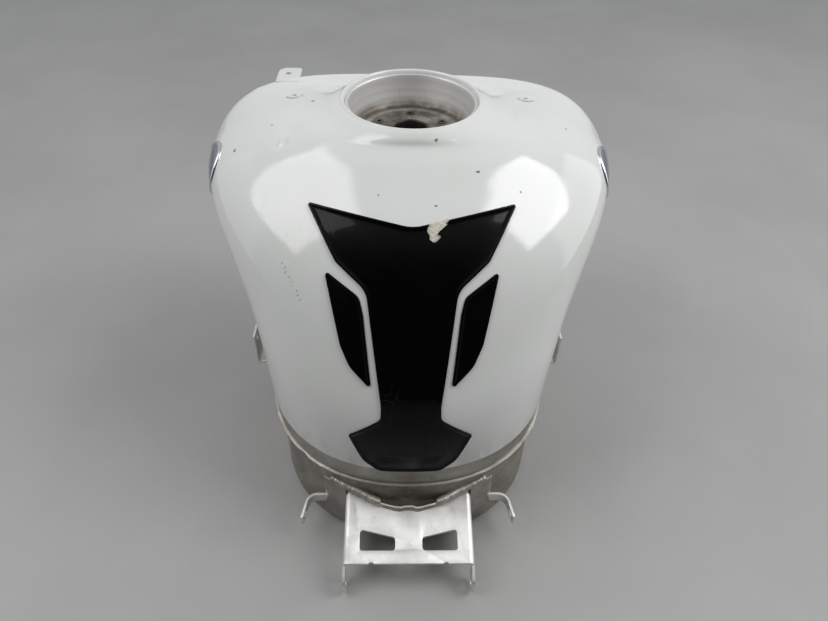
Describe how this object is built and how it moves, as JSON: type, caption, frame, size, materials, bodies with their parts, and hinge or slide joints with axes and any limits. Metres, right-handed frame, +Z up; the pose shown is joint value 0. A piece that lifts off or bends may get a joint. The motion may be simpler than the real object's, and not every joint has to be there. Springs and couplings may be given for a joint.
{
  "type": "motorcycle fuel tank",
  "caption": "Motorcycle fuel tank: painted shell over a bare pan, recessed filler cup, stick-on pads, rear bracket and a fuel pump module inside.",
  "frame": {"origin": "centre of the footprint, on the surface that the tank stands on", "axes": "+Z up, +Y towards the front wheel, +X to the rider's right"},
  "size_m": [0.41, 0.4455, 0.3782],
  "materials": {
    "white_paint": "semi-gloss light grey-white paint with scratches and chips",
    "bare_aluminium": "unpainted aluminium sheet, dull and grimy",
    "bright_aluminium": "bright cut aluminium sheet with light grime",
    "spun_aluminium": "spun bare aluminium, satin",
    "plated_steel": "zinc-plated steel",
    "pad_black": "domed glossy black resin",
    "badge_silver": "satin chrome rim",
    "badge_slate": "dark slate enamel",
    "black_rubber": "fuel-proof black rubber",
    "dark_plastic": "moulded acetal",
    "white_plastic": "woven nylon filter sock",
    "brass_pins": "tinned brass"
  },
  "bodies": {
    "tank": {"badge_bezel_left": "badge_silver", "badge_bezel_right": "badge_silver", "badge_face_left": "badge_slate", "badge_face_right": "badge_slate", "baffle_centre": "bare_aluminium", "baffle_left": "bare_aluminium", "baffle_right": "bare_aluminium", "bracket_wing_left": "bare_aluminium", "bracket_wing_right": "bare_aluminium", "breather_pipe": "plated_steel", "cap_screw_inserts": "plated_steel", "cover_insert_left": "plated_steel", "cover_insert_right": "plated_steel", "cup_drain_pipe": "plated_steel", "filler_cup": "spun_aluminium", "filler_neck": "spun_aluminium", "front_tab": "white_paint", "hook_strap_left": "bright_aluminium", "hook_strap_right": "bright_aluminium", "inlet_strainer": "white_plastic", "level_sender": "dark_plastic", "lower_pan": "bare_aluminium", "mount_peg_left": "plated_steel", "mount_peg_right": "plated_steel", "mount_rubber_left": "black_rubber", "mount_rubber_right": "black_rubber", "outlet_elbow": "plated_steel", "pan_stiffener": "bare_aluminium", "pressure_regulator": "plated_steel", "pump_casing": "plated_steel", "pump_cover": "dark_plastic", "pump_flange_ring": "bare_aluminium", "pump_gasket": "black_rubber", "pump_holder": "dark_plastic", "pump_hose": "black_rubber", "pump_nuts": "plated_steel", "pump_socket": "dark_plastic", "pump_studs": "plated_steel", "rear_bracket": "bright_aluminium", "seam_lip": "bare_aluminium", "side_tab_left": "bare_aluminium", "side_tab_right": "bare_aluminium", "socket_pins": "brass_pins", "tank_pad_centre": "pad_black", "tank_pad_left": "pad_black", "tank_pad_right": "pad_black", "tunnel_panel": "bare_aluminium", "upper_shell": "white_paint", "weld_bead_left": "bare_aluminium", "weld_bead_right": "bare_aluminium"},
    "float": {"float_arm": "plated_steel", "float": "dark_plastic"},
    "pump_rotor": {"pump_shaft": "plated_steel", "pump_armature": "plated_steel", "pump_impeller": "dark_plastic"}
  },
  "joints": [
    {"name": "float_swing", "type": "hinge", "parent": "tank", "child": "float", "pos_m": [0.026, -0.0577, 0.11], "axis": [0, -1, 0], "range_deg": [0, 100]},
    {"name": "pump_spin", "type": "hinge", "parent": "tank", "child": "pump_rotor", "pos_m": [-0.01, -0.0732, 0.105], "axis": [0, 0, 1], "continuous": true}
  ]
}
